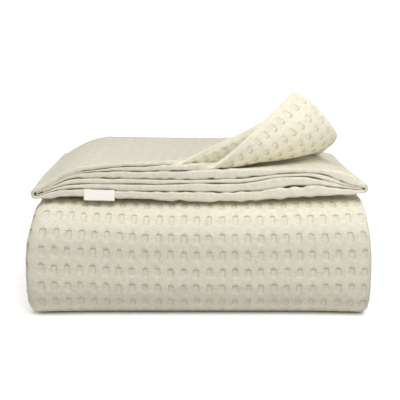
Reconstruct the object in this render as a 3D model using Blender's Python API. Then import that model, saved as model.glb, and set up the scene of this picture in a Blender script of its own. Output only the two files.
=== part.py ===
"""Waffle weave cotton blanket, folded six layers deep and rolled up in four passes.

Metres, +Z up, the front faces -Y, the floor is z = 0. The cloth is one sheet. A place in the sheet is (s, t, w):
s runs through the six layers of the section, t along the roll of four passes, and w through the thickness.
"""
import math

import bmesh
import bpy
import numpy as np

# ---- named sizes ----
HALF_DEPTH = 0.1580         # half of the folded depth
SHEET = 0.0058              # thickness of the waffle cloth
PITCH = 0.0075              # one layer and the air over it
STRIP = PITCH * 6           # one pass of the roll, all six layers
PASS_GAP = 0.0015           # air between one pass and the next
HEM_ROUND = 0.0016          # how far a hem's rounded edge reaches past its flat
HEM_EDGE = 0.45             # share of the thickness left at that edge
FRONT_SETBACK = 0.025       # the top pass ends this far behind the front face
FRONT_RADIUS = 0.0035       # inner corner radius of the front wrap
BACK_RADIUS = 0.0100        # inner corner radius of the back wrap
BEND_RADIUS = 0.0015        # inner radius of the bend inside the roll
SQUARE = 2.5                # how square the weight presses the lower front corner; 2 is round
SAG = 0.0045                # how much lower the middle lies than the sides
SAG_FROM = 0.02             # nothing below this height sags, so the underside stays flat
LOFT = 0.05                 # how much looser the layers lie at the open front end
LOFT_REACH = 0.060
DROOP = 0.0030              # the lowest front hem hangs down this much
DROOP_REACH = 0.012

# the wedge-shaped section of the open pass, and the round-ended section of the wrapped passes
WEDGE = dict(left=-0.1870, right=0.1930, nose=0.0042, spread=0.085, power=2.6, air=0.0006, inner=0.015,
             hem=0.034, page=0.1810, right_spread=0.060, right_power=1.8, right_inner=0.017, tip_left=0.0075, tip_right=0.0,
             tip_from=0.150, thin=0.58, thin_reach=0.050)
ROUND = dict(left=-0.1772, right=0.1834, inner=0.003, hem=0.0102, page=0.1933, right_inner=0.003)

# the corner of the top page that is turned back, as a cone that widens to the right
FLAP = dict(start=-0.0091, angle=41.9, radius=0.0224, radius_far=0.0514, far=0.137, flare=1.42, flare_end=1.06,
            turn=141.8, lead=0.0220, lead_far=0.128, loose=0.0017, settle=0.025)

# the section, in order along the sheet: segment, then its cuts or how many even cells it has
SECTION = (
    ("layer3", (0, .10, .22, .52, .84, 1)),
    ("right_outer", 6),
    ("layer6", (0, .16, .48, .78, .90, 1)),
    ("left_outer", 7),
    ("layer1", (0, .06, .13, .24, .42, .56, .67, .78, .89, 1)),
    ("page_fold", 3),
    ("layer2", (0, .11, .22, .33, .44, .58, .76, .87, .94, 1)),
    ("left_inner", 4),
    ("layer5", (0, .10, .22, .52, .84, 1)),
    ("right_inner", 4),
    ("layer4", (0, .16, .48, .78, .90, 1)),
)
# the roll, in order from the open front end: segment, then its cuts or how many even cells it has
ROLL = (
    ("pass1", (0, .12, .25, .39, .55, .75, 1)),
    ("back", 7),
    ("pass4", 2),
    ("front", 9),
    ("pass2", 2),
    ("bend", 5),
    ("pass3", 2),
)
PAGE = (4, 7)               # layer 1, its fold and layer 2: the page whose corner is turned back
FLAP_CELLS = dict(left=-0.015, depth=0.178, cuts=1)

LABEL = dict(left=-0.1305, right=-0.0951, bottom=0.1374, height=0.0130, thick=0.0008, air=0.0006, cells=6)

# heights of the four passes' inner faces
Z_PASS4 = STRIP - (PITCH - SHEET) / 2
Z_PASS3 = Z_PASS4 + STRIP + PASS_GAP
Z_PASS2 = Z_PASS3 + 2 * BEND_RADIUS
Z_PASS1 = Z_PASS2 + STRIP + PASS_GAP
# depths where the straight passes end
Y_OPEN = -HALF_DEPTH + FRONT_SETBACK
Y_FRONT = -HALF_DEPTH + STRIP + FRONT_RADIUS
Y_BACK = HALF_DEPTH - STRIP - BACK_RADIUS
Y_BEND = Y_BACK + BACK_RADIUS - PASS_GAP - STRIP - BEND_RADIUS
Y_INSIDE = Y_FRONT


def ease(value):
    """Smooth step from 0 to 1."""
    value = np.clip(value, 0, 1)
    return value * value * (3 - 2 * value)


def pressed(x):
    """Share of the full thickness left where the wedge presses the cloth flat at its two edges."""
    w = WEDGE
    edge = np.minimum(x - w["left"], w["right"] - x)
    return w["thin"] + (1 - w["thin"]) * ease(edge / w["thin_reach"])


def wedge_height(x, layer):
    """Height of a layer's middle in the wedge section."""
    w = WEDGE
    tight = SHEET * pressed(x) + w["air"]
    tip = np.where(x < 0, w["tip_left"], w["tip_right"])
    bottom = PITCH / 2 - tip * ease((np.abs(x) - w["tip_from"]) / (0.2 - w["tip_from"]))
    left = np.clip((x - w["left"]) / w["spread"], 0, 1)
    full = 2 * w["nose"] + (5 * PITCH - 2 * w["nose"]) * (1 - (1 - left) ** w["power"])
    near = np.maximum(full / 5, tight)
    middle = full - 2 * near
    on_left = {6: 0 * x, 5: near, 4: near + middle / 3, 3: near + middle * 2 / 3, 2: full - near, 1: full}[layer]
    right = np.clip((w["right"] - x) / w["right_spread"], 0, 1)
    lower = 2 * w["nose"] + (3 * PITCH - 2 * w["nose"]) * (1 - (1 - right) ** w["right_power"])
    step = np.maximum(lower / 3, tight)
    loose = tight - w["air"] + PITCH - SHEET
    on_right = {6: 0 * x, 5: step, 4: lower - step, 3: lower, 2: lower + loose, 1: lower + 2 * loose}[layer]
    return bottom + np.where(x < 0, on_left, on_right)


def round_height(x, layer):
    return (6.5 - layer) * PITCH + 0 * x


def ends(shape, height):
    """Where each layer starts and stops, and the middle of each fold, in one of the two sections."""
    left, right = shape["left"], shape["right"]
    return dict(left=left, right=right, left_in=left + shape["inner"], hem=left + shape["hem"],
                right_in=right - shape["right_inner"], page=shape["page"], height=height)


def straight(e, layer, start, stop, u):
    x = e[start] + (e[stop] - e[start]) * u
    return x, e["height"](x, layer)


def turned(e, at, first, last, side, u):
    """A fold from one layer to another round the point at, bulging to the given side."""
    x = e[at] + 0 * u
    top, end = e["height"](x, first), e["height"](x, last)
    radius = (top - end) / 2
    return x + side * np.abs(radius) * np.sin(math.pi * u), (top + end) / 2 + radius * np.cos(math.pi * u)


def section_part(e, index, u):
    """(x, height) of the sheet's middle in one segment of the section."""
    return (
        lambda: straight(e, 3, "hem", "right", u),
        lambda: turned(e, "right", 3, 6, 1, u),
        lambda: straight(e, 6, "right", "left", u),
        lambda: turned(e, "left", 6, 1, -1, u),
        lambda: straight(e, 1, "left", "page", u),
        lambda: turned(e, "page", 1, 2, 1, u),
        lambda: straight(e, 2, "page", "left_in", u),
        lambda: turned(e, "left_in", 2, 5, -1, u),
        lambda: straight(e, 5, "left_in", "right_in", u),
        lambda: turned(e, "right_in", 5, 4, 1, u),
        lambda: straight(e, 4, "right_in", "hem", u),
    )[index]()


def section(s, wedge):
    """(x, height) of the sheet's middle at s, blended between the two sections."""
    x, o = np.zeros_like(s), np.zeros_like(s)
    kinds = ends(WEDGE, wedge_height), ends(ROUND, round_height)
    for index in range(len(SECTION)):
        low = -9 if index == 0 else index
        high = 99 if index == len(SECTION) - 1 else index + 1
        here = (s >= low) & (s < high)
        if not here.any():
            continue
        (xa, oa), (xb, ob) = (section_part(e, index, s[here] - index) for e in kinds)
        share = wedge[here]
        x[here] = xb + (xa - xb) * share
        o[here] = ob + (oa - ob) * share
    return x, o


def wrap(u, y, low, high, radius, side):
    """Inner path of a wrap between two heights, with the outward direction: a corner, a straight, a corner."""
    down = side > 0
    turn = 0.42
    first = np.clip(u / turn, 0, 1)
    last = np.clip((u - 1 + turn) / turn, 0, 1)
    mid = np.clip((u - turn) / (1 - 2 * turn), 0, 1)
    angle = math.pi / 2 * (first + last)
    ny, nz = side * np.sin(angle), (1 if down else -1) * np.cos(angle)
    start, stop = (high - radius, low + radius) if down else (low + radius, high - radius)
    return y + radius * ny, start + (stop - start) * mid + radius * nz, ny, nz


def roll(t):
    """(y, z) of the roll's inner path at t, with the outward direction, and how wedge-shaped the section is."""
    y, z, ny, nz = (np.zeros_like(t) for _ in range(4))
    wedge = np.where(t < 1, 1 - 0.15 * np.clip(t, 0, 1), 0.85 * (1 - ease((t - 1) / 0.5)))

    def put(here, values):
        for target, value in zip((y, z, ny, nz), values):
            target[here] = value

    passes = (
        (-9, 1, 0, Y_OPEN, Y_BACK, Z_PASS1, 1),
        (2, 3, 2, Y_BACK, Y_FRONT, Z_PASS4, -1),
        (4, 5, 4, Y_FRONT, Y_BEND, Z_PASS2, 1),
        (6, 99, 6, Y_BEND, Y_INSIDE, Z_PASS3, -1),
    )
    for low, high, base, start, stop, height, up in passes:
        here = (t >= low) & (t < high)
        u = t[here] - base
        put(here, (start + (stop - start) * u, height + 0 * u, 0 * u, up + 0 * u))
    here = (t >= 1) & (t < 2)
    put(here, wrap(t[here] - 1, Y_BACK, Z_PASS4, Z_PASS1, BACK_RADIUS, 1))
    here = (t >= 3) & (t < 4)
    put(here, wrap(t[here] - 3, Y_FRONT, Z_PASS4, Z_PASS2, FRONT_RADIUS, -1))
    here = (t >= 5) & (t < 6)
    angle = math.pi * (t[here] - 5)
    put(here, (Y_BEND + BEND_RADIUS * np.sin(angle), Z_PASS2 - BEND_RADIUS + BEND_RADIUS * np.cos(angle),
               np.sin(angle), np.cos(angle)))
    return y, z, ny, nz, wedge


def squared(t, ny, nz):
    """How much further the outer layers reach where the weight presses the lower front corner square."""
    power = np.where((t > 3) & (t < 3.5), SQUARE, 2.0)
    return (np.abs(ny) ** power + np.abs(nz) ** power) ** (-1 / power)


def turn_back(x, y, o):
    """Turns the front right corner of the top page up and back, round a line that runs back to the right."""
    f = FLAP
    wedge = ends(WEDGE, wedge_height)
    page = (wedge["height"](x, 1) + wedge["height"](x, 2)) / 2
    apart = wedge["height"](x, 1) - wedge["height"](x, 2)
    above = o - page + PITCH
    upper = np.clip((o - page) / apart + 0.5, 0, 1)
    angle = math.radians(f["angle"])
    cos, sin = math.cos(angle), math.sin(angle)
    ax, ay = x - f["start"], y - Y_OPEN
    along = ax * cos + ay * sin
    lead = f["lead"] * (1 - ease(along / f["lead_far"])) * upper
    across = ax * sin - ay * cos + lead
    grown = np.clip(along / f["far"], 0, f["flare_end"]) ** f["flare"]
    radius = f["radius"] + (f["radius_far"] - f["radius"]) * grown + f["loose"] * upper
    turn = math.radians(f["turn"])
    bent = np.clip(across / radius, 0, turn)
    rest = np.maximum(across - turn * radius, 0)
    inner = radius - above
    out = inner * np.sin(bent) + rest * np.cos(bent) - lead
    up = inner + above - inner * np.cos(bent) + rest * np.sin(bent)
    level = page + (5 * PITCH - page) * ease(across / f["settle"])
    lifted = across > 0
    nx = f["start"] + along * cos + out * sin
    ny = Y_OPEN + along * sin - out * cos
    return np.where(lifted, nx, x), np.where(lifted, ny, y), np.where(lifted, up + level - PITCH, o)


def middle(s, t):
    """The sheet's middle in space, and the share of its full thickness there."""
    y, z, ny, nz, wedge = roll(t)
    x, o = section(s, wedge)
    share = 1 - wedge * (1 - pressed(x))
    back = np.maximum(y - Y_OPEN, 0)
    loft = np.where(t < 1, LOFT * np.exp(-(back / LOFT_REACH) ** 2), 0)
    o = o * (1 + loft)
    lowest = (s > 1.5) & (s < 3.0) & (t < 1)
    o = o - np.where(lowest, DROOP * np.exp(-back / DROOP_REACH), 0)
    o = o * squared(t, ny, nz)
    py, pz = y + ny * o, z + nz * o
    page = (s >= PAGE[0]) & (s < PAGE[1]) & (t < 1)
    if page.any():
        x[page], py[page], top = turn_back(x[page], py[page], o[page])
        pz[page] = Z_PASS1 + top
    raised = np.clip((pz - SAG_FROM) / (Z_PASS1 - SAG_FROM), 0, 1)
    pz = pz - SAG * raised * (1 - np.clip(x / 0.2, -1, 1) ** 2)
    return np.stack([x, py, pz], 1), share


def sheet_point(s, t, w):
    """A place in the sheet, w half thicknesses off its middle."""
    small = 1e-4
    across = middle(s + small, t)[0] - middle(s - small, t)[0]
    along = middle(s, t + small)[0] - middle(s, t - small)[0]
    normal = np.cross(across, along)
    normal /= np.linalg.norm(normal, axis=1)[:, None]
    point, share = middle(s, t)
    return point - normal * (w * share * SHEET / 2)[:, None]


def cuts(table):
    """Grid lines of one direction, with a line past each end for the rounded hem."""
    lines = []
    for index, (_, cells) in enumerate(table):
        shares = cells[:-1] if isinstance(cells, tuple) else [i / cells for i in range(cells)]
        lines += [index + share for share in shares]
    return lines + [float(len(table))]


def hem_lines(lines, first, last):
    """Adds the hem's edge outside both ends, in the parameter of the first and last segment."""
    return [-HEM_ROUND / first] + lines + [lines[-1] + HEM_ROUND / last]


def flat_sheet():
    """The sheet before folding, as a closed slab whose coordinates are (s, t, w)."""
    length = ROUND["right"] - ROUND["left"]
    s_lines = hem_lines(cuts(SECTION), length, length)
    t_lines = hem_lines(cuts(ROLL), Y_BACK - Y_OPEN, Y_BEND - Y_INSIDE)
    bm = bmesh.new()
    last_s, last_t = len(s_lines) - 1, len(t_lines) - 1

    def share(i, j):
        return HEM_EDGE if i in (0, last_s) or j in (0, last_t) else 1.0

    upper = [[bm.verts.new((s, t, share(i, j))) for j, t in enumerate(t_lines)] for i, s in enumerate(s_lines)]
    lower = [[bm.verts.new((s, t, -share(i, j))) for j, t in enumerate(t_lines)] for i, s in enumerate(s_lines)]
    for i in range(last_s):
        for j in range(last_t):
            bm.faces.new((upper[i][j], upper[i + 1][j], upper[i + 1][j + 1], upper[i][j + 1]))
            bm.faces.new((lower[i][j], lower[i][j + 1], lower[i + 1][j + 1], lower[i + 1][j]))
    for i in range(last_s):
        bm.faces.new((upper[i][0], lower[i][0], lower[i + 1][0], upper[i + 1][0]))
        bm.faces.new((upper[i][last_t], upper[i + 1][last_t], lower[i + 1][last_t], lower[i][last_t]))
    for j in range(last_t):
        bm.faces.new((upper[0][j], upper[0][j + 1], lower[0][j + 1], lower[0][j]))
        bm.faces.new((upper[last_s][j], lower[last_s][j], lower[last_s][j + 1], upper[last_s][j + 1]))
    return bm


def refine_flap(bm):
    """Smaller cells where the page turns back."""
    depth = FLAP_CELLS["depth"] / (Y_BACK - Y_OPEN)
    share = (FLAP_CELLS["left"] - WEDGE["left"]) / (WEDGE["page"] - WEDGE["left"])

    def inside(vert):
        s, t, _ = vert.co
        return PAGE[0] + share <= s <= PAGE[1] - share and t <= depth

    edges = [e for e in bm.edges if all(inside(v) for v in e.verts)
             and abs(e.verts[0].co.z - e.verts[1].co.z) < 1.0]
    bmesh.ops.subdivide_edges(bm, edges=edges, cuts=FLAP_CELLS["cuts"], use_grid_fill=True)


def make_object(name, bm, material, collection):
    bmesh.ops.triangulate(bm, faces=bm.faces[:])
    bmesh.ops.recalc_face_normals(bm, faces=bm.faces[:])
    mesh = bpy.data.meshes.new(name)
    bm.to_mesh(mesh)
    bm.free()
    mesh.materials.append(material)
    obj = bpy.data.objects.new(name, mesh)
    collection.objects.link(obj)
    return obj


def blanket(material, collection):
    bm = flat_sheet()
    refine_flap(bm)
    places = np.array([v.co for v in bm.verts])
    points = sheet_point(places[:, 0], places[:, 1], places[:, 2])
    for vert, point in zip(bm.verts, points):
        vert.co = point
    return make_object("blanket", bm, material, collection)


def label(material, collection):
    """A bare tab that hangs over the lowest front hem."""
    l = LABEL
    cells = l["cells"]
    front = Y_OPEN - HEM_ROUND - l["air"]
    bm = bmesh.new()
    rings = []
    for i in range(cells + 1):
        x = l["left"] + (l["right"] - l["left"]) * i / cells
        low = l["bottom"] - SAG * (1 - (x / 0.2) ** 2) + SAG * (1 - (l["left"] / 0.2) ** 2)
        rings.append([bm.verts.new((x, front - dy, low + dz)) for dy, dz in (
            (0, 0), (l["thick"], 0), (l["thick"], l["height"]), (0, l["height"]))])
    for a, b in zip(rings, rings[1:]):
        for k in range(4):
            bm.faces.new((a[k], a[(k + 1) % 4], b[(k + 1) % 4], b[k]))
    bm.faces.new(rings[0])
    bm.faces.new(rings[-1][::-1])
    return make_object("label", bm, material, collection)


def cloth_material(name, colour, roughness):
    material = bpy.data.materials.new(name)
    material.use_nodes = True
    shader = material.node_tree.nodes["Principled BSDF"]
    shader.inputs["Base Color"].default_value = (*colour, 1)
    shader.inputs["Roughness"].default_value = roughness
    return material


def main():
    for obj in list(bpy.data.objects):
        bpy.data.objects.remove(obj, do_unlink=True)
    collection = bpy.data.collections.new("waffle_weave_cotton_blanket")
    bpy.context.scene.collection.children.link(collection)
    blanket(cloth_material("waffle_cotton", (0.80, 0.77, 0.66), 0.9), collection)
    label(cloth_material("label_tape", (0.92, 0.88, 0.80), 0.7), collection)


main()
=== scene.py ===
import math

import bmesh
import bpy
import numpy as np
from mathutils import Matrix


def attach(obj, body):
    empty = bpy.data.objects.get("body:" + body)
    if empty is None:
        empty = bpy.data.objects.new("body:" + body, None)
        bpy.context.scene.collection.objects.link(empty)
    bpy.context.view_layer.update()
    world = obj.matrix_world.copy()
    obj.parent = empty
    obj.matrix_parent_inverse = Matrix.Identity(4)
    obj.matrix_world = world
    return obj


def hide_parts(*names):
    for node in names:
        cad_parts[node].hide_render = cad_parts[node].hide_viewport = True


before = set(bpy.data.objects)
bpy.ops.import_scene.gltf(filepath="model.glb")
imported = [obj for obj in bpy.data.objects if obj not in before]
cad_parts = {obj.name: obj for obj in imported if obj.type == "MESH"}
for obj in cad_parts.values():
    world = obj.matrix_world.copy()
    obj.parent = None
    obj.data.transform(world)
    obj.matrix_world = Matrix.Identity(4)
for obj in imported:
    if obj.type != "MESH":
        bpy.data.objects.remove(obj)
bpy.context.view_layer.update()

print("frame loaded")

# the cloth and its fold, in metres; s counts the section's segments and t the roll's, from the open front,
# and what ends in At is a span of t
cloth = dict(
    halfWidth=0.2, halfDepth=0.1580, thick=0.0058, pitch=0.0075, passGap=0.0015,
    frontSetback=0.025, frontRadius=0.0035, backRadius=0.0100, bendRadius=0.0015,
    sag=0.0045, sagFrom=0.02,               # the middle lies lower than the sides, over a flat underside
    frontReach=0.050, hemReach=0.018,       # how deep the front's own heights and hem thicknesses go
    frontLeast=0.01, frontAir=0.0005,       # the least share of them that counts, the air between hems
    hemLimits=(0.24, 2.2),                  # a front hem's least and most share of the thickness
    frontTurn=0.388, backTurn=0.344,        # share of a wrap's length in each of its corners
    square=2.05, squareSides=0.5, squareTop=2.35,           # how square the front's corners are: 2 is round
    sidesAt=0.19, sidesPower=6,             # the lower corner is squarer near its sides
    squareEnds=2.4, squareEndsAt=(1.7, 2.0, 3.40, 3.75),    # and so are the side folds of the lower passes
    drawnLeft=0.8,                          # where the sides draw in, the left one does so less
    flatBelow=(0.004, 0.012))               # heights over which pits and puckers fade to the flat underside
wedge = dict(                               # the top pass, pressed thin at its left and right tips
    left=-0.1861, right=0.1906, page=0.1810, inner=0.015, hem=0.034, rightInner=0.017,
    nose=0.0072, rightNose=0.0052, spread=0.063, power=1.42, rightSpread=0.060, rightPower=1.5,
    tip=0.0060, tipFrom=0.150, thin=0.58, thinReach=0.050, air=0.0006,
    closer=(0.0125, 0.0225, 0.0140),        # at the open front the inner folds reach nearer the outer ones
    drawn=0.007, drawnAt=(0.05, 0.75, 1.2, 1.8),            # its sides draw in towards the back
    lost=0.04, fadesAt=(1.25, 1.75))        # and the back wrap takes it over into the round shape
roundEnd = dict(                            # the other passes
    left=-0.1772, right=0.1822, page=0.1933, inner=0.003, hem=0.0102, rightInner=0.003, closer=(0, 0, 0),
    drawn=0.0085, drawnPage=0.75, drawnAt=(3.48, 3.90, 4.1, 4.6))   # the upper front corner is narrower
frontLines = (                              # millimetres: x, the open front's top, each layer's underside
    (-188, 150, 144, 143.3, 142.8, 142.2, 141.7, 139),
    (-169, 162, 155, 154, 153, 151, 148.3, 139.3),
    (-151, 173, 167, 166.5, 163, 156.5, 151.8, 143),
    (-130, 178.5, 172, 171, 164, 157.5, 151.3, 141.6),
    (-95, 182, 176.5, 172, 163.3, 156.8, 149.4, 140.4),
    (-55, 183, 178, 171.7, 162.7, 156.6, 148.3, 138.5),
    (-9, 185.5, 180.5, 172.7, 161.8, 157.7, 148, 136),
    (37, 186, 180.5, 174.3, 162.7, 157.7, 147.2, 136),
    (60, 186, 180.5, 174.8, 164.4, 159.2, 148.4, 137),
    (95, 186, 180.5, 175.3, 169, 165.5, 152.6, 139.3),
    (129, 186, 180.5, 175.5, 170, 166, 156, 141.7),
    (146, 185, 179, 174.6, 168.5, 161.5, 154.8, 142.4),
    (161, 183, 177, 172.3, 161, 157.3, 152.8, 143.4),
    (175, 179, 173.5, 168.8, 156, 154, 151.7, 144.2),
    (193, 166, 160, 155.5, 150.5, 150, 149.2, 145.5))
frontSmoothing = ((-0.012, 1), (-0.006, 2), (0, 2), (0.006, 2), (0.012, 1))     # steps along x, and weights
flap = dict(                                # the turned corner: a cone that widens along a slanted line
    start=-0.0091, angle=41.9, radius=0.0224, radiusFar=0.0514, far=0.137, flare=1.42, flareEnd=1.06,
    turn=141.8, lead=0.0222, leadFar=0.112, loose=0.0017, settle=0.025, dip=0.0012,
    lift=0.0028, liftAlong=(0.055, 0.105),          # its fold stands off the pile
    endLift=0.0050, endAlong=(0.160, 0.245),        # and most at its right end
    liftFrom=(-0.020, 0.010), liftFades=(0.015, 0.090),
    tuck=0.022, tuckAt=(0.40, 0.66, 1.2, 1.8))      # behind it the edge of the page is tucked in

strip = cloth["pitch"] * 6
zPass4 = strip - (cloth["pitch"] - cloth["thick"]) / 2
zPass3 = zPass4 + strip + cloth["passGap"]
zPass2 = zPass3 + 2 * cloth["bendRadius"]
zPass1 = zPass2 + strip + cloth["passGap"]
yOpen = -cloth["halfDepth"] + cloth["frontSetback"]
yFront = -cloth["halfDepth"] + strip + cloth["frontRadius"]
yBack = cloth["halfDepth"] - strip - cloth["backRadius"]
yBend = yBack + cloth["backRadius"] - cloth["passGap"] - strip - cloth["bendRadius"]

# each segment of the section and of the roll, with how many waffle cells it holds
sectionCells = (24, 3, 24, 3.62, 25, 1.38, 25, 6, 12, 3, 12)
rollCells = (12, 12, 10.25, 9.1, 9, 6, 8.65)


def ease(value):
    value = np.clip(value, 0, 1)
    return value * value * (3 - 2 * value)


def past(value, span):                      # 0 before the span, 1 after it
    return ease((value - span[0]) / (span[1] - span[0]))


def within(value, span):                    # 1 between the span's middle two numbers, 0 outside it
    return past(value, span[:2]) * (1 - past(value, span[2:]))


def sagAt(x):
    return cloth["sag"] * (1 - np.clip(x / cloth["halfWidth"], -1, 1) ** 2)


def fuller(one, two, power):                # moves a circle's points out towards the corners of its square
    return (np.abs(one) ** power + np.abs(two) ** power) ** (-1 / power)


def onSegment(s, index):                    # the first and last segments also hold what reaches past them
    return ((s >= index) | (index == 0)) & ((s < index + 1) | (index == len(sectionCells) - 1))


def pressed(x):
    edge = np.minimum(x - wedge["left"], wedge["right"] - x)
    return wedge["thin"] + (1 - wedge["thin"]) * ease(edge / wedge["thinReach"])


def wedgeHeight(x, layer):
    pitch, nose, rightNose = cloth["pitch"], wedge["nose"], wedge["rightNose"]
    tight = cloth["thick"] * pressed(x) + wedge["air"]
    tip = np.where(x < 0, wedge["tip"], 0) * past(np.abs(x), (wedge["tipFrom"], cloth["halfWidth"]))
    left = np.clip((x - wedge["left"]) / wedge["spread"], 0, 1)
    full = 2 * nose + (5 * pitch - 2 * nose) * (1 - (1 - left) ** wedge["power"])
    near = np.maximum(full / 5, tight)
    between = full - 2 * near
    onLeft = {6: 0 * x, 5: near, 4: near + between / 3, 3: near + between * 2 / 3, 2: full - near,
              1: full}[layer]
    right = np.clip((wedge["right"] - x) / wedge["rightSpread"], 0, 1)
    lower = 2 * rightNose + (3 * pitch - 2 * rightNose) * (1 - (1 - right) ** wedge["rightPower"])
    step = np.maximum(lower / 3, tight)
    free = tight - wedge["air"] + pitch - cloth["thick"]
    onRight = {6: 0 * x, 5: step, 4: lower - step, 3: lower, 2: lower + free, 1: lower + 2 * free}[layer]
    return pitch / 2 - tip + np.where(x < 0, onLeft, onRight)


def frontLine(x, column):                   # one column of the front table, with its corners smoothed
    table = np.array(frontLines) / 1000
    whole = sum(weight for _, weight in frontSmoothing)
    lines = (weight * np.interp(x + step, table[:, 0], table[:, column]) for step, weight in frontSmoothing)
    return sum(lines) / whole


def frontBand(x, layer):                    # a layer's height over the pass at the front, and its thickness
    upper, lower = frontLine(x, layer), frontLine(x, layer + 1)
    return (upper + lower) / 2 - zPass1 + sagAt(x), upper - lower


def openHeight(x, layer, front):            # its own heights at the front, the even wedge behind
    even = wedgeHeight(x, layer)
    return even + (frontBand(x, layer)[0] - even) * front


def openThickness(x, s, front, share):      # pressed at the tips, and each hem's own at the front
    full = 1 - share * (1 - pressed(x))
    joined = ((3, 3), (3, 6), (6, 6), (6, 1), (1, 1), (1, 2), (2, 2), (2, 5), (5, 5), (5, 4), (4, 4))
    for index, (first, last) in enumerate(joined):          # the layers that each segment joins
        here = onSegment(s, index) & (front > cloth["frontLeast"])
        if here.any():
            u = np.clip(s[here] - index, 0, 1)
            band = frontBand(x[here], first)[1] * (1 - u) + frontBand(x[here], last)[1] * u
            own = np.clip((band - cloth["frontAir"]) / cloth["thick"], *cloth["hemLimits"])
            full[here] += (own - full[here]) * front[here]
    return full


def roundHeight(x, layer):
    return (6.5 - layer) * cloth["pitch"] + 0 * x


def ends(shape, height, tuck, drawn, front=0, low=0):       # where the folds of the section lie
    nose, hem, rightNose = (front * part for part in shape["closer"])
    left, right = shape["left"] + drawn * cloth["drawnLeft"], shape["right"] - drawn
    return dict(left=left, right=right, leftIn=left + shape["inner"] - nose,
                hem=left + shape["hem"] - hem, rightIn=right - shape["rightInner"] + rightNose,
                page=shape["page"] - tuck, height=height, low=low)


def straight(e, layer, start, stop, u):
    x = e[start] + (e[stop] - e[start]) * u
    return x, e["height"](x, layer)


def turned(e, at, first, last, side, u):    # a half turn from one layer to another
    x = e[at] + 0 * u
    top, end = e["height"](x, first), e["height"](x, last)
    radius = (top - end) / 2
    out, up = np.sin(math.pi * u), np.cos(math.pi * u)
    more = fuller(out, up, 2 + e["low"] * (at in ("left", "right")))
    return x + side * np.abs(radius) * out * more, (top + end) / 2 + radius * up * more


def sectionPart(e, index, u):
    return (lambda: straight(e, 3, "hem", "right", u),
            lambda: turned(e, "right", 3, 6, 1, u),
            lambda: straight(e, 6, "right", "left", u),
            lambda: turned(e, "left", 6, 1, -1, u),
            lambda: straight(e, 1, "left", "page", u),
            lambda: turned(e, "page", 1, 2, 1, u),
            lambda: straight(e, 2, "page", "leftIn", u),
            lambda: turned(e, "leftIn", 2, 5, -1, u),
            lambda: straight(e, 5, "leftIn", "rightIn", u),
            lambda: turned(e, "rightIn", 5, 4, 1, u),
            lambda: straight(e, 4, "rightIn", "hem", u))[index]()


def section(s, share, front, low, tuck, drawn):     # x, and the height over the pass
    x, o = np.zeros_like(s), np.zeros_like(s)
    for index in range(len(sectionCells)):
        here = onSegment(s, index)
        if here.any():
            nearFront = front[here]
            opened = ends(wedge, lambda x, layer: openHeight(x, layer, nearFront), tuck[here], drawn[here],
                          nearFront)
            closed = ends(roundEnd, roundHeight, tuck[here], drawn[here], low=low[here])
            (xa, oa), (xb, ob) = (sectionPart(e, index, s[here] - index) for e in (opened, closed))
            x[here] = xb + (xa - xb) * share[here]
            o[here] = ob + (oa - ob) * share[here]
    return x, o


def wrap(u, y, low, high, radius, side, turn):
    first, last = np.clip(u / turn, 0, 1), np.clip((u - 1 + turn) / turn, 0, 1)
    between = np.clip((u - turn) / (1 - 2 * turn), 0, 1)
    angle = math.pi / 2 * (first + last)
    ny, nz = side * np.sin(angle), side * np.cos(angle)
    start, stop = (high - radius, low + radius) if side > 0 else (low + radius, high - radius)
    return y + radius * ny, start + (stop - start) * between + radius * nz, ny, nz


def roll(t):                                # the four passes and the wraps between them, seen from the side
    y, z, ny, nz = (np.zeros_like(t) for _ in range(4))
    lost = wedge["lost"]
    share = np.where(t < 1, 1 - lost * np.clip(t, 0, 1), (1 - lost) * (1 - past(t, wedge["fadesAt"])))
    # each pass: its span of t, where it starts and stops, its height, and which way its outside faces
    passes = ((-9, 1, yOpen, yBack, zPass1, 1), (2, 3, yBack, yFront, zPass4, -1),
              (4, 5, yFront, yBend, zPass2, 1), (6, 99, yBend, yFront, zPass3, -1))
    for low, high, start, stop, height, up in passes:
        here = (t >= low) & (t < high)
        u = t[here] - max(low, 0)
        y[here], z[here], ny[here], nz[here] = start + (stop - start) * u, height, 0, up
    wraps = ((1, yBack, zPass4, zPass1, cloth["backRadius"], 1, cloth["backTurn"]),
             (3, yFront, zPass4, zPass2, cloth["frontRadius"], -1, cloth["frontTurn"]))
    for first, *shape in wraps:
        here = (t >= first) & (t < first + 1)
        y[here], z[here], ny[here], nz[here] = wrap(t[here] - first, *shape)
    here = (t >= 5) & (t < 6)
    angle = math.pi * (t[here] - 5)
    y[here] = yBend + cloth["bendRadius"] * np.sin(angle)
    z[here] = zPass2 - cloth["bendRadius"] + cloth["bendRadius"] * np.cos(angle)
    ny[here], nz[here] = np.sin(angle), np.cos(angle)
    return y, z, ny, nz, share


def squared(t, x, ny, nz):                  # the outer layers reach further into the front's two corners
    beside = np.clip(np.abs(x) / cloth["sidesAt"], 0, 1) ** cloth["sidesPower"]
    lower = cloth["square"] + cloth["squareSides"] * beside
    power = np.where((t > 3) & (t < 3.5), lower, np.where((t >= 3.5) & (t < 4), cloth["squareTop"], 2.0))
    return fuller(ny, nz, power)


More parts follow.
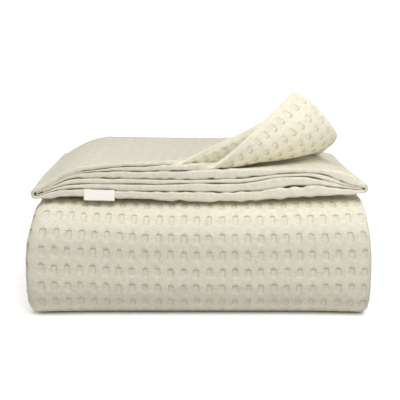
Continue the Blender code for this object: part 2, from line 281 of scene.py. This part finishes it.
def turnBack(x, y, o, front):               # rolls the page's corner up and back
    upperHeight, lowerHeight = openHeight(x, 1, front), openHeight(x, 2, front)
    page, apart = (upperHeight + lowerHeight) / 2, upperHeight - lowerHeight
    above = o - page + cloth["pitch"]
    upper = np.clip((o - page) / apart + 0.5, 0, 1)
    angle = math.radians(flap["angle"])
    cos, sin = math.cos(angle), math.sin(angle)
    ax, ay = x - flap["start"], y - yOpen
    along = ax * cos + ay * sin
    lead = flap["lead"] * (1 - ease(along / flap["leadFar"])) * upper
    across = ax * sin - ay * cos + lead
    grown = np.clip(along / flap["far"], 0, flap["flareEnd"]) ** flap["flare"]
    radius = flap["radius"] + (flap["radiusFar"] - flap["radius"]) * grown + flap["loose"] * upper
    turn = math.radians(flap["turn"])
    bent = np.clip(across / radius, 0, turn)
    rest = np.maximum(across - turn * radius, 0)
    inner = radius - above
    out = inner * np.sin(bent) + rest * np.cos(bent) - lead
    up = inner + above - inner * np.cos(bent) + rest * np.sin(bent)
    level = page + (5 * cloth["pitch"] - flap["dip"] - page) * ease(across / flap["settle"])
    lift = flap["lift"] * past(along, flap["liftAlong"]) + flap["endLift"] * past(along, flap["endAlong"])
    lift = lift * past(across, flap["liftFrom"]) * (1 - past(across, flap["liftFades"]))
    rolled = across > 0
    newX = np.where(rolled, flap["start"] + along * cos + out * sin, x)
    newY = np.where(rolled, yOpen + along * sin - out * cos, y)
    return newX, newY, np.where(rolled, up + level - cloth["pitch"], o) + lift


def middle(s, t):                           # the cloth's middle surface, and its share of full thickness
    y, z, ny, nz, share = roll(t)
    back = np.maximum(y - yOpen, 0)
    front = np.where(t < 1, np.exp(-(back / cloth["frontReach"]) ** 2), 0)
    atHem = np.where(t < 1, np.exp(-(back / cloth["hemReach"]) ** 2), 0)
    low = cloth["squareEnds"] * within(t, cloth["squareEndsAt"])
    narrower = roundEnd["drawn"] * within(t, roundEnd["drawnAt"])
    tuck = flap["tuck"] * within(t, flap["tuckAt"]) + narrower * roundEnd["drawnPage"]
    drawn = wedge["drawn"] * within(t, wedge["drawnAt"]) + narrower
    x, o = section(s, share, front, low, tuck, drawn)
    full = openThickness(x, s, atHem, share)
    o = o * squared(t, x, ny, nz)
    py, pz = y + ny * o, z + nz * o
    page = (s >= 4) & (s < 7) & (t < 1)
    if page.any():
        x[page], py[page], top = turnBack(x[page], py[page], o[page], front[page])
        pz[page] = zPass1 + top
    raised = np.clip((pz - cloth["sagFrom"]) / (zPass1 - cloth["sagFrom"]), 0, 1)
    return np.stack([x, py, pz - raised * sagAt(x)], 1), full


# the waffle: oblong pits between wide smooth ridges, in cells, with pitDepth and puckerShift in metres
weave = dict(
    pitDepth=0.0012,
    pitWide=0.222, pitTall=0.262,           # half sizes
    corner=4.6, arch=0.14,                  # how square the pit is, and how it narrows upwards
    wall=(0.65, 1.75), shallow=0.6, shallowFrom=(0.04, 0.24),       # its wall, and its shallower lower end
    hemBand=(0.12, 0.32),                   # no pits nearer a hem
    topFrom=(0.5, 2.2), topUntil=(11.4, 12.6), topEdge=(0.7, 0.9),
    topKept=0.25,                           # the share of a pit's depth left on the pressed top surface
    topSooner=1.2, soonerUntil=(9, 12),     # left of the turned corner this begins at the hem
    linesAcross=(0, 0.25, 0.315, 0.50, 0.685, 0.75, 1),     # grid lines of one cell
    linesAlong=(0, 0.218, 0.253, 0.35, 0.73, 0.79, 1),
    wobble=0.0225, calm=1.5, calmFrom=0.4,  # how far a cell strays
    droop=0.22, droopCells=11, droopRise=5, droopFall=3,    # the front's rows run a little downhill
    pucker=0.0625, puckerShift=0.0002143, puckerRows=(-0.2, 0.9))       # unevenness of the hems
seenCells = dict(                           # how far pits are cut in the layers that show at the front only
    underShare=0.53, underRows=10, hemShare=0.47, hemRows=8, stripCells=10, stripRows=2)
unevenness = dict(                          # waves: strength, pace along each side of the sheet, start
    across=((1, 0.9, 1.7, 0), (1, 2.3, -1.1, 1.0), (0.7, 5.1, 4.3, 2.0)),
    along=((1, 1.3, -0.8, 0.5), (1, 2.9, 1.9, 2.5), (0.7, 6.2, -3.7, 0)),
    swell=((1, 2 * math.pi, 0, math.pi / 2),                # one bulge to a cell
           (0.9, 2.3, 0, 0.4), (0.7, 4.9, 0, 1.9)),
    shift=((1, 1.9, 0, 0.8), (1, 3.7, 0, 2.2), (0.6, 2 * math.pi, 0, 1.0)))


def cellTable(cells):
    starts = [0]
    for count in cells:
        starts.append(round(starts[-1] + count, 2))
    return starts


sStarts, tStarts = cellTable(sectionCells), cellTable(rollCells)
hemRows = ((0.0010, 0.97), (0.0019, 0.88), (0.0026, 0.70), (0.0029, 0.45))   # rounded edge: reach, share


def toSegments(cell, starts, length):
    clipped = np.clip(cell, 0, starts[-1])
    s = np.interp(clipped, starts, range(len(starts)))
    steps = [0] + [row[0] for row in hemRows]
    before = np.interp(-cell, range(len(steps)), steps) / length
    after = np.interp(cell - starts[-1], range(len(steps)), steps) / length
    return s - before + after


def hemShare(cell, starts):
    shares = [1] + [row[1] for row in hemRows]
    beyond = np.maximum(np.maximum(-cell, cell - starts[-1]), 0)
    return np.interp(beyond, range(len(shares)), shares)


def warped(cell, lines):                    # moves the even cuts of a cell onto the pit's edges
    whole = np.floor(cell + 1e-6)
    part = np.clip(cell - whole, 0, 1)
    return whole + np.interp(part, np.linspace(0, 1, len(lines)), lines)


def pit(a, b):                              # 1 on the pit's floor, 0 on the ridges
    u, v = a - np.floor(a) - 0.5, b - np.floor(b) - 0.5
    wide = np.abs(u) * (1 + weave["arch"] * np.maximum(v, 0)) / weave["pitWide"]
    reach = wide ** weave["corner"] + (np.abs(v) / weave["pitTall"]) ** weave["corner"]
    return (1 - past(reach, weave["wall"])) * (1 - weave["shallow"] * past(-v, weave["shallowFrom"]))


def uneven(a, b, kind):
    return sum(much * np.sin(p * a + q * b + start) for much, p, q, start in unevenness[kind])


def strayed(a, b):                          # hand-made unevenness of the cells, none at the hems
    amount = weave["wobble"] * ease((b - weave["calmFrom"]) / weave["calm"])
    for inward in (a, sStarts[-1] - a, tStarts[-1] - b):
        amount = amount * ease(inward / weave["calm"])
    rows = (tStarts[3], tStarts[3] + weave["droopRise"], tStarts[4] - weave["droopFall"],
            tStarts[4] + weave["droopFall"])
    droop = weave["droop"] * ease((a - sStarts[4]) / weave["droopCells"]) * within(b, rows)
    return a + amount * uneven(a, b, "across"), b + amount * uneven(a, b, "along") - droop


def pucker(a, b):                           # the stitched hem gathers a little at every ridge
    near = 1 - past(b, weave["puckerRows"])
    swell, shift = uneven(a, b, "swell"), uneven(a, b, "shift")
    return weave["pucker"] * near * swell, weave["puckerShift"] * near * shift


def flatCloth():                            # the sheet before it is folded, one square to a cell
    bm = bmesh.new()
    extra = len(hemRows)
    sLines = list(range(-extra, int(sStarts[-1]) + extra + 1))
    tLines = list(range(-extra, int(tStarts[-1]) + extra + 1))
    sides = [[[bm.verts.new((a, b, w)) for b in tLines] for a in sLines] for w in (1, -1)]
    upper, lower = sides
    lastS, lastT = len(sLines) - 1, len(tLines) - 1
    for i in range(lastS):
        for j in range(lastT):
            bm.faces.new((upper[i][j], upper[i + 1][j], upper[i + 1][j + 1], upper[i][j + 1]))
            bm.faces.new((lower[i][j], lower[i][j + 1], lower[i + 1][j + 1], lower[i + 1][j]))
    for i in range(lastS):
        bm.faces.new((upper[i][0], lower[i][0], lower[i + 1][0], upper[i + 1][0]))
        bm.faces.new((upper[i][lastT], upper[i + 1][lastT], lower[i + 1][lastT], lower[i][lastT]))
    for j in range(lastT):
        bm.faces.new((upper[0][j], upper[0][j + 1], lower[0][j + 1], lower[0][j]))
        bm.faces.new((upper[lastS][j], lower[lastS][j], lower[lastS][j + 1], upper[lastS][j + 1]))
    return bm


def shows(a, b):                            # the cells that are seen, and so get their pits in the mesh
    if not (0 < a < sStarts[-1] and 0 < b < tStarts[-1]):
        return False
    segment = np.searchsorted(sStarts, a, side="right") - 1
    t = np.interp(b, tStarts, range(len(tStarts)))
    if segment in (1, 3, 5):
        return True
    if segment == 4:
        return t < 2 or 3 < t < 4
    across = (a - sStarts[segment]) / sectionCells[segment]
    if segment == 6:
        return across < seenCells["underShare"] and b < seenCells["underRows"]
    return segment == 0 and across > seenCells["hemShare"] and b < seenCells["hemRows"]


def showsInside(a, b):                      # the strip between the two turned hems
    return sStarts[4] + seenCells["stripCells"] < a < sStarts[5] and 0 < b < seenCells["stripRows"]


def refine(bm):
    chosen = set()
    for face in bm.faces:
        centre = face.calc_center_median()
        outer, inner = centre.z < -0.9, centre.z > 0.9
        if outer and shows(centre.x, centre.y) or inner and showsInside(centre.x, centre.y):
            chosen.update(face.edges)
    for edge in bm.edges:                   # the front hem gets the same cuts, for its puckers
        p, q = (v.co for v in edge.verts)
        if abs(p.x - q.x) > 0.5 and p.y <= 0 and 0 <= p.x <= sStarts[-1] and 0 <= q.x <= sStarts[-1]:
            chosen.add(edge)
    cuts = len(weave["linesAcross"]) - 2
    bmesh.ops.subdivide_edges(bm, edges=list(chosen), cuts=cuts, use_grid_fill=True)


def foldUp(bm):                             # the place of every point in the fold, and its cell
    a, b, w = np.array([v.co for v in bm.verts]).T
    a = np.where((a < 0) | (a > sStarts[-1]), a, warped(a, weave["linesAcross"]))
    b = np.where((b < 0) | (b > tStarts[-1]), b, warped(b, weave["linesAlong"]))
    strayA, strayB = strayed(a, b)
    s = toSegments(strayA, sStarts, roundEnd["right"] - roundEnd["left"])
    t = toSegments(strayB, tStarts, yBack - yOpen)
    small = 1e-4                            # a step along the cloth, for its normals
    across = middle(s + small, t)[0] - middle(s - small, t)[0]
    along = middle(s, t + small)[0] - middle(s, t - small)[0]
    normal = np.cross(across, along)
    normal /= np.linalg.norm(normal, axis=1)[:, None]
    point, full = middle(s, t)
    half = full * hemShare(b, tStarts) * hemShare(a, sStarts) * cloth["thick"] / 2
    sooner = b + weave["topSooner"] * (1 - past(a - sStarts[4], weave["soonerUntil"]))
    onTop = past(sooner, weave["topFrom"]) * (1 - past(b, weave["topUntil"]))
    onTop = onTop * (a < sStarts[5] + weave["topEdge"][0])
    kept = 1 - (1 - weave["topKept"]) * onTop
    depth = pit(a, b) * weave["pitDepth"] * full * past(b, weave["hemBand"]) * (np.abs(w) > 0.9) * kept
    clear = past(point[:, 2] - normal[:, 2] * w * half, cloth["flatBelow"])
    half = half - depth * clear
    swell, shift = pucker(a, b)
    clear = clear * full ** 0.5
    return point - normal * (w * half * (1 + swell * clear) + shift * clear)[:, None], a, b


def makeBlanket(material):
    bm = flatCloth()
    refine(bm)
    points, a, b = foldUp(bm)
    for vert, point in zip(bm.verts, points):
        vert.co = point
    bm.verts.index_update()
    weaveMap = bm.loops.layers.uv.new("weave")
    for face in bm.faces:
        face.smooth = True
        for loop in face.loops:
            loop[weaveMap].uv = (a[loop.vert.index], b[loop.vert.index])
    bmesh.ops.triangulate(bm, faces=bm.faces[:], quad_method="SHORT_EDGE")
    bmesh.ops.recalc_face_normals(bm, faces=bm.faces[:])
    mesh = bpy.data.meshes.new("waffleBlanket")
    bm.to_mesh(mesh)
    bm.free()
    mesh.materials.append(material)
    blanket = bpy.data.objects.new("waffleBlanket", mesh)
    bpy.context.scene.collection.objects.link(blanket)
    bpy.ops.object.select_all(action="DESELECT")
    blanket.select_set(True)
    bpy.context.view_layer.objects.active = blanket
    flatter = blanket.modifiers.new("flatterFloors", "WEIGHTED_NORMAL")  # keeps pit floors and ridges flat
    flatter.weight = 70
    bpy.ops.object.modifier_apply(modifier=flatter.name)
    print("blanket:", len(mesh.polygons), "triangles")
    return blanket


# the bare tab on the lowest front hem
tab = dict(
    left=-0.1305, right=-0.0951, bottom=0.1388, height=0.0125, thick=0.0008, air=0.0006, cells=24,
    lean=0.0022, leanPower=1.6, wave=0.0003, wavePace=7.0, waveStart=0.6,       # it leans out, a bit wavy
    slimEnds=0.55, rounding=0.3,            # its rim, in shares of its thickness and of half its height
    rim=((0.35, 0.94), (0, 1.0), (-0.35, 0.94), (-0.5, 0.75), (-0.5, 0), (-0.5, -0.75),
         (-0.35, -0.94), (0, -1.0), (0.35, -0.94), (0.5, -0.75), (0.5, 0), (0.5, 0.75)))


def makeTab(material):
    front = yOpen - hemRows[-1][0] - tab["air"]
    edge, half = tab["thick"] * tab["rounding"], tab["height"] / 2
    bm = bmesh.new()
    rings = []
    for i in range(tab["cells"] + 1):
        u = i / tab["cells"]
        x = tab["left"] + (tab["right"] - tab["left"]) * u
        low = tab["bottom"] - sagAt(x) + sagAt(tab["left"])
        slim, short = (tab["slimEnds"], edge) if i in (0, tab["cells"]) else (1, 0)
        ring = []
        for dy, dz in tab["rim"]:
            down = (1 - dz) / 2
            wave = tab["wave"] * down * math.sin(tab["wavePace"] * u + tab["waveStart"])
            away = tab["lean"] * down ** tab["leanPower"] + wave
            ring.append(bm.verts.new((x, front - away + tab["thick"] * (0.5 + dy * slim),
                                      low + half + dz * (half - short))))
        rings.append(ring)
    for one, two in zip(rings, rings[1:]):
        for k in range(len(tab["rim"])):
            after = (k + 1) % len(tab["rim"])
            bm.faces.new((one[k], one[after], two[after], two[k])).smooth = True
    bm.faces.new(rings[0])
    bm.faces.new(rings[-1][::-1])
    bmesh.ops.recalc_face_normals(bm, faces=bm.faces[:])
    mesh = bpy.data.meshes.new("hemTab")
    bm.to_mesh(mesh)
    bm.free()
    mesh.materials.append(material)
    piece = bpy.data.objects.new("hemTab", mesh)
    bpy.context.scene.collection.objects.link(piece)
    return piece


# materials, made of nodes
def node(tree, kind, inputs=None, **settings):
    made = tree.nodes.new(kind)
    for key, value in settings.items():
        setattr(made, key, value)
    for key, value in (inputs or {}).items():
        if isinstance(value, bpy.types.NodeSocket):
            tree.links.new(value, made.inputs[key])
        else:
            made.inputs[key].default_value = value
    return made


def compute(tree, operation, *values):
    return node(tree, "ShaderNodeMath", dict(enumerate(values)), operation=operation).outputs[0]


def times(tree, first, *others):
    for other in others:
        first = compute(tree, "MULTIPLY", first, other)
    return first


def vectorMath(tree, operation, *values):
    return node(tree, "ShaderNodeVectorMath", dict(enumerate(values)), operation=operation).outputs


def soften(tree, value, start, stop):       # 0 at start, 1 at stop, smooth between them
    made = node(tree, "ShaderNodeMapRange", dict(Value=value), interpolation_type="SMOOTHSTEP")
    made.inputs["From Min"].default_value, made.inputs["From Max"].default_value = start, stop
    return made.outputs[0]


def grainNoise(tree, place, scale, detail=2.0):
    return node(tree, "ShaderNodeTexNoise", dict(Vector=place, Scale=scale, Detail=detail)).outputs[0]


def newGroup(name, inputs, outputs):
    group = bpy.data.node_groups.new(name, "ShaderNodeTree")
    for side, sockets in (("INPUT", inputs), ("OUTPUT", outputs)):
        for label, kind in sockets:
            group.interface.new_socket(label, in_out=side, socket_type=kind)
    return group, group.nodes.new("NodeGroupInput"), group.nodes.new("NodeGroupOutput")


def useGroup(tree, group, **values):
    return node(tree, "ShaderNodeGroup", values, node_tree=group)


fibreLook = dict(unevenScale=55.0, drift=1.6, weft=0.9,     # the yarns wander, and the weft shows less
                 fuzzScale=1400.0, fuzz=0.8, mottleScale=190.0, mottle=0.30, speckScale=620.0, specks=0.75,
                 slowScale=9.0, slow=0.08, base=0.81, yarnTone=0.05)


def makeFibres():                           # twisted yarn and loose fuzz, for every cloth here
    look = fibreLook
    group, given, result = newGroup(
        "cottonFibres", (("Place", "NodeSocketVector"), ("Yarns", "NodeSocketVector")),
        (("Height", "NodeSocketFloat"), ("Tone", "NodeSocketFloat")))
    place = given.outputs["Place"]
    yarns = node(group, "ShaderNodeSeparateXYZ", {0: given.outputs["Yarns"]})
    wander = grainNoise(group, place, look["unevenScale"])
    rows = []
    for axis in (0, 1):
        drift = compute(group, "MULTIPLY_ADD", wander, look["drift"], yarns.outputs[axis])
        rows.append(compute(group, "ABSOLUTE", compute(group, "SINE", times(group, drift, math.pi))))
    woven = compute(group, "MAXIMUM", rows[0], times(group, rows[1], look["weft"]))
    fuzz = grainNoise(group, place, look["fuzzScale"], 3.0)
    height = compute(group, "MULTIPLY_ADD", fuzz, look["fuzz"], woven)
    specks = compute(group, "SUBTRACT", grainNoise(group, place, look["speckScale"]), 0.5)
    mottle = grainNoise(group, place, look["mottleScale"], 3.0)
    mottle = compute(group, "MULTIPLY_ADD", specks, look["specks"], mottle)
    slow = grainNoise(group, place, look["slowScale"], 1.0)
    tone = compute(group, "MULTIPLY_ADD", mottle, look["mottle"], look["base"])
    tone = compute(group, "MULTIPLY_ADD", slow, look["slow"], tone)
    tone = times(group, tone, compute(group, "MULTIPLY_ADD", woven, look["yarnTone"], 1 - look["yarnTone"]))
    group.links.new(height, result.inputs["Height"])
    group.links.new(tone, result.inputs["Tone"])
    return group


# the spans below place a waffle cell's painted shade, painted highlight and grooves
pitLines = dict(                            # spans of the reach, 1 at the pit's edge, or of the cell
    floor=(1.25, 0.80), shadeIn=(0.35, 0.85), shadeOut=(1.7, 1.1), topFrom=(0.08, 0.24),
    sideFrom=(0.05, 0.16), sideMore=0.45, sideLeast=0.45, side=0.9, patchScale=0.9, patches=(0.15, 0.65),
    rimIn=(0.8, 1.3), rimOut=(3.4, 1.8), rimBelow=(-0.08, -0.22),
    tickWide=(0.06, 0.01), tickFrom=(0.26, 0.32), tickUntil=(0.46, 0.36),
    levelAt=0.03, levelWide=(0.045, 0.005), levelBeside=(1.1, 1.5), level=0.7)


def makeWaffle():                           # one waffle cell: its pit, its grooves, and masks for the painted shade round the pit's top and sides and the painted highlight below it
    look = pitLines
    group, given, result = newGroup(
        "waffleCell", (("Cell", "NodeSocketVector"),),
        (("Pit", "NodeSocketFloat"), ("Shade", "NodeSocketFloat"), ("PaintedHighlight", "NodeSocketFloat"),
         ("Groove", "NodeSocketFloat")))
    cell = node(group, "ShaderNodeSeparateXYZ", {0: given.outputs["Cell"]})
    u, v = (compute(group, "SUBTRACT", compute(group, "FRACT", cell.outputs[axis]), 0.5) for axis in (0, 1))
    wide, tall = compute(group, "ABSOLUTE", u), compute(group, "ABSOLUTE", v)
    arch = compute(group, "MULTIPLY_ADD", compute(group, "MAXIMUM", v, 0.0), weave["arch"], 1.0)
    across = compute(group, "DIVIDE", times(group, wide, arch), weave["pitWide"])
    along = compute(group, "DIVIDE", tall, weave["pitTall"])
    reach = compute(group, "ADD", compute(group, "POWER", across, weave["corner"]),
                    compute(group, "POWER", along, weave["corner"]))
    floor = soften(group, reach, *look["floor"])
    edge = times(group, soften(group, reach, *look["shadeIn"]), soften(group, reach, *look["shadeOut"]))
    # painted shade: a dark arc along the pit's upper edge, where light from above leaves it in shade
    top = times(group, edge, soften(group, v, *look["topFrom"]))
    # painted shade: thin dark lines down the pit's sides, stronger on the side away from the light
    side = compute(group, "MULTIPLY_ADD", soften(group, u, *look["sideFrom"]), look["sideMore"],
                   look["sideLeast"])
    patches = grainNoise(group, given.outputs["Cell"], look["patchScale"], 1.0)
    side = times(group, edge, side, soften(group, patches, *look["patches"]), look["side"])
    # painted highlight: a pale band round the pit's lower edge, which faces the light from above
    rim = times(group, soften(group, reach, *look["rimIn"]), soften(group, reach, *look["rimOut"]),
                soften(group, v, *look["rimBelow"]))
    # the tick over the pit and the level groove across it: relief in the bump, and painted shade in the
    # colour, where their crease falls in shade
    tick = times(group, soften(group, wide, *look["tickWide"]), soften(group, v, *look["tickFrom"]),
                 soften(group, v, *look["tickUntil"]))
    low = compute(group, "ABSOLUTE", compute(group, "SUBTRACT", v, look["levelAt"]))
    level = times(group, soften(group, low, *look["levelWide"]), soften(group, reach, *look["levelBeside"]),
                  look["level"])
    groove = compute(group, "MAXIMUM", tick, level)
    shade = compute(group, "MAXIMUM", top, side)
    for label, socket in (("Pit", floor), ("Shade", shade), ("PaintedHighlight", rim), ("Groove", groove)):
        group.links.new(socket, result.inputs[label])
    return group


def newMaterial(name):
    material = bpy.data.materials.new(name)
    material.use_nodes = True
    return material, material.node_tree, material.node_tree.nodes["Principled BSDF"]


# shade, groove and floor darken the cloth towards its painted shade colour: painted shade on the pits'
# edges, in the grooves and on the pit floors; rim adds a painted highlight
cottonLook = dict(
    colour=(0.845, 0.803, 0.655), deep=(0.42, 0.385, 0.27), shade=0.74, rim=0.11, groove=0.27, floor=0.10,
    yarnsPerCell=(15, 20, 1), yarnBump=0.00022, yarnStrength=0.55, pitBump=0.0002, grooveBump=0.25,
    seamAt=0.30, seamWide=(0.045, 0.015), seamBump=0.4, stitchesPerCell=5, stitchGap=(0.2, 0.5),
    roughness=0.88, specular=0.25, sheen=0.18, sheenRoughness=0.55, sheenTint=(1.0, 0.98, 0.92, 1))


def makeCotton(fibres, waffle):
    look = cottonLook
    material, tree, shader = newMaterial("waffleCotton")
    cells = node(tree, "ShaderNodeUVMap", uv_map="weave").outputs[0]
    place = node(tree, "ShaderNodeTexCoord").outputs["Object"]
    yarns = vectorMath(tree, "MULTIPLY", cells, look["yarnsPerCell"])[0]
    fine = useGroup(tree, fibres, Place=place, Yarns=yarns)
    cell = useGroup(tree, waffle, Cell=cells)
    across, rows, _ = node(tree, "ShaderNodeSeparateXYZ", {0: cells}).outputs
    inside = soften(tree, rows, *weave["hemBand"])
    until, gone = (sStarts[4] + count for count in weave["soonerUntil"])
    sooner = compute(tree, "MULTIPLY_ADD", soften(tree, across, gone, until), weave["topSooner"], rows)
    edgeFrom, edgeTo = (sStarts[5] + count for count in weave["topEdge"])
    onTop = times(tree, soften(tree, sooner, *weave["topFrom"]),
                  soften(tree, rows, *weave["topUntil"][::-1]), soften(tree, across, edgeTo, edgeFrom))
    inside = times(tree, inside, compute(tree, "MULTIPLY_ADD", onTop, weave["topKept"] - 1, 1.0))
    # painted shade: the pits' edges, grooves and floors mixed towards a dark colour, where light from above
    # leaves them in shade
    paintedShade = compute(tree, "MULTIPLY_ADD", cell.outputs["Shade"], look["shade"],
                   times(tree, cell.outputs["Groove"], look["groove"]))
    paintedShade = times(tree, compute(tree, "MULTIPLY_ADD", cell.outputs["Pit"], look["floor"], paintedShade), inside)
    # the painted highlight below each pit lightens the fibres' own random tone
    tone = compute(tree, "MULTIPLY_ADD", times(tree, cell.outputs["PaintedHighlight"], inside), look["rim"],
                   fine.outputs["Tone"])
    colour = node(tree, "ShaderNodeMix", {0: paintedShade, 6: (*look["colour"], 1), 7: (*look["deep"], 1)},
                  data_type="RGBA")
    colour = node(tree, "ShaderNodeVectorMath", {0: colour.outputs[2], "Scale": tone}, operation="SCALE")
    tree.links.new(colour.outputs[0], shader.inputs["Base Color"])
    relief = compute(tree, "MULTIPLY_ADD", cell.outputs["Groove"], look["grooveBump"], cell.outputs["Pit"])
    seam = compute(tree, "ABSOLUTE", compute(tree, "SUBTRACT", rows, look["seamAt"]))
    stitch = compute(tree, "ABSOLUTE", compute(
        tree, "SINE", times(tree, across, math.pi * look["stitchesPerCell"])))
    seam = times(tree, soften(tree, seam, *look["seamWide"]), soften(tree, stitch, *look["stitchGap"]),
                 look["seamBump"])
    relief = compute(tree, "MAXIMUM", times(tree, relief, inside), seam)
    coarse = node(tree, "ShaderNodeBump", dict(Strength=1.0, Distance=look["pitBump"], Height=relief),
                  invert=True)
    small = node(tree, "ShaderNodeBump", dict(Strength=look["yarnStrength"], Distance=look["yarnBump"],
                                              Height=fine.outputs["Height"], Normal=coarse.outputs[0]))
    tree.links.new(small.outputs[0], shader.inputs["Normal"])
    shader.inputs["Roughness"].default_value = look["roughness"]
    shader.inputs["Specular IOR Level"].default_value = look["specular"]
    shader.inputs["Sheen Weight"].default_value = look["sheen"]
    shader.inputs["Sheen Roughness"].default_value = look["sheenRoughness"]
    shader.inputs["Sheen Tint"].default_value = look["sheenTint"]
    return material


# glow is painted light: the tape glows faintly in its own colour, so it looks whiter than the lamps make it
tapeLook = dict(colour=(0.96, 0.925, 0.855), yarns=(1200, 1, 1200), toneShare=0.5, bump=0.00012,
                strength=0.35, roughness=0.5, sheen=0.3, glow=0.10)


def makeTape(fibres):
    look = tapeLook
    material, tree, shader = newMaterial("labelTape")
    place = node(tree, "ShaderNodeTexCoord").outputs["Object"]
    counted = vectorMath(tree, "MULTIPLY", place, look["yarns"])[0]
    along, _, up = node(tree, "ShaderNodeSeparateXYZ", {0: counted}).outputs
    yarns = node(tree, "ShaderNodeCombineXYZ", {0: along, 1: up})
    fine = useGroup(tree, fibres, Place=place, Yarns=yarns.outputs[0])
    soft = compute(tree, "MULTIPLY_ADD", fine.outputs["Tone"], look["toneShare"], 1 - look["toneShare"])
    colour = node(tree, "ShaderNodeVectorMath", {0: look["colour"], "Scale": soft}, operation="SCALE")
    tree.links.new(colour.outputs[0], shader.inputs["Base Color"])
    bump = node(tree, "ShaderNodeBump", dict(Strength=look["strength"], Distance=look["bump"],
                                             Height=fine.outputs["Height"]))
    tree.links.new(bump.outputs[0], shader.inputs["Normal"])
    shader.inputs["Roughness"].default_value = look["roughness"]
    shader.inputs["Sheen Weight"].default_value = look["sheen"]
    # painted light: a faint glow in the tape's own colour
    shader.inputs["Emission Color"].default_value = (*look["colour"], 1)
    shader.inputs["Emission Strength"].default_value = look["glow"]
    return material


fibres = makeFibres()
cotton = makeCotton(fibres, makeWaffle())
tape = makeTape(fibres)
print("materials made")

blanket = makeBlanket(cotton)
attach(blanket, "root")
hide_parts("blanket")
hemTab = makeTab(tape)
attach(hemTab, "root")
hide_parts("label")
print("pieces made")

# camera, floor and lights
studio = dict(
    camera=(0.0029, -1.2012, 0.3496), tilt=78.80, lens=85.0, sensor=36,
    world=0.462, backdrop=1.05,
    keyPlace=(0.15, -1.52, 1.82), keyAim=(0, -0.05, 0.12), keySize=1.9, keyPower=34.8,
    cornerPlace=(1.05, -0.72, 0.27), cornerAim=(0.125, -0.03, 0.214), cornerAngle=14.5, cornerSoft=0.12,
    cornerPower=26.0,                       # this lamp lifts the turned corner only
    floorSize=30, floorSeen=1.36, floorBeside=1.45, frontFade=(-0.13, -0.165), glowFade=(0.28, 0.75),
    bounceNear=0.84, bounceFar=0.30, bounceFade=(0.010, 0.045), footprint=(0.19, 0.15, 0))


def hangLight(name, kind, place, aim, **settings):
    light = bpy.data.lights.new(name, kind)
    for key, value in settings.items():
        setattr(light, key, value)
    lamp = bpy.data.objects.new(name, light)
    bpy.context.scene.collection.objects.link(lamp)
    lamp.location = place
    dx, dy, dz = (there - here for here, there in zip(place, aim))
    lamp.rotation_euler = (math.atan2(math.hypot(dx, dy), -dz), 0, math.atan2(dy, dx) - math.pi / 2)


camera = bpy.data.objects.new("photoCamera", bpy.data.cameras.new("photoCamera"))
bpy.context.scene.collection.objects.link(camera)
camera.location = studio["camera"]
camera.rotation_euler = (math.radians(studio["tilt"]), 0, 0)
camera.data.lens = studio["lens"]
camera.data.sensor_width = studio["sensor"]
bpy.context.scene.camera = camera


def makeFloor():                            # seen as white paper, but its bounce fades away from the cloth
    material, tree, shader = newMaterial("studioPaper")
    seen = node(tree, "ShaderNodeLightPath").outputs["Is Camera Ray"]
    place = node(tree, "ShaderNodeTexCoord").outputs["Object"]
    outward = vectorMath(tree, "SUBTRACT", vectorMath(tree, "ABSOLUTE", place)[0], studio["footprint"])[0]
    away = vectorMath(tree, "LENGTH", vectorMath(tree, "MAXIMUM", outward, (0, 0, 0))[0])[1]
    near, far = studio["bounceNear"], studio["bounceFar"]
    bounce = compute(tree, "MULTIPLY_ADD", soften(tree, away, *studio["bounceFade"]), far - near, near)
    inFront = soften(tree, node(tree, "ShaderNodeSeparateXYZ", {0: place}).outputs[1], *studio["frontFade"])
    paper = compute(tree, "MULTIPLY_ADD", inFront, studio["floorSeen"] - studio["floorBeside"],
                    studio["floorBeside"])
    value = node(tree, "ShaderNodeMix", {0: seen, 2: bounce, 3: paper}, data_type="FLOAT").outputs[0]
    tree.links.new(value, shader.inputs["Base Color"])
    shader.inputs["Roughness"].default_value = 1.0
    shader.inputs["Specular IOR Level"].default_value = 0.0
    shader.inputs["Emission Color"].default_value = (1, 1, 1, 1)
    glow = soften(tree, vectorMath(tree, "LENGTH", place)[1], *studio["glowFade"])
    tree.links.new(times(tree, seen, glow), shader.inputs["Emission Strength"])
    bpy.ops.object.select_all(action="DESELECT")
    bpy.ops.mesh.primitive_plane_add(size=studio["floorSize"], location=(0, 0, 0))
    floor = bpy.context.object
    floor.name = "studioFloor"
    floor.data.materials.append(material)
    return floor


makeFloor()

world = bpy.data.worlds.new("studioLight")
bpy.context.scene.world = world
world.use_nodes = True
sky = world.node_tree
seen = node(sky, "ShaderNodeLightPath").outputs["Is Camera Ray"]
shine = compute(sky, "MULTIPLY_ADD", seen, studio["backdrop"] - studio["world"], studio["world"])
sky.nodes["Background"].inputs[0].default_value = (1, 1, 1, 1)
sky.links.new(shine, sky.nodes["Background"].inputs[1])
hangLight("keyLight", "AREA", studio["keyPlace"], studio["keyAim"], shape="DISK", size=studio["keySize"],
          energy=studio["keyPower"])
hangLight("cornerLight", "SPOT", studio["cornerPlace"], studio["cornerAim"], spot_blend=1.0,
          spot_size=math.radians(studio["cornerAngle"]), shadow_soft_size=studio["cornerSoft"],
          energy=studio["cornerPower"])
bpy.context.scene.view_settings.view_transform = "Standard"
print("studio set")
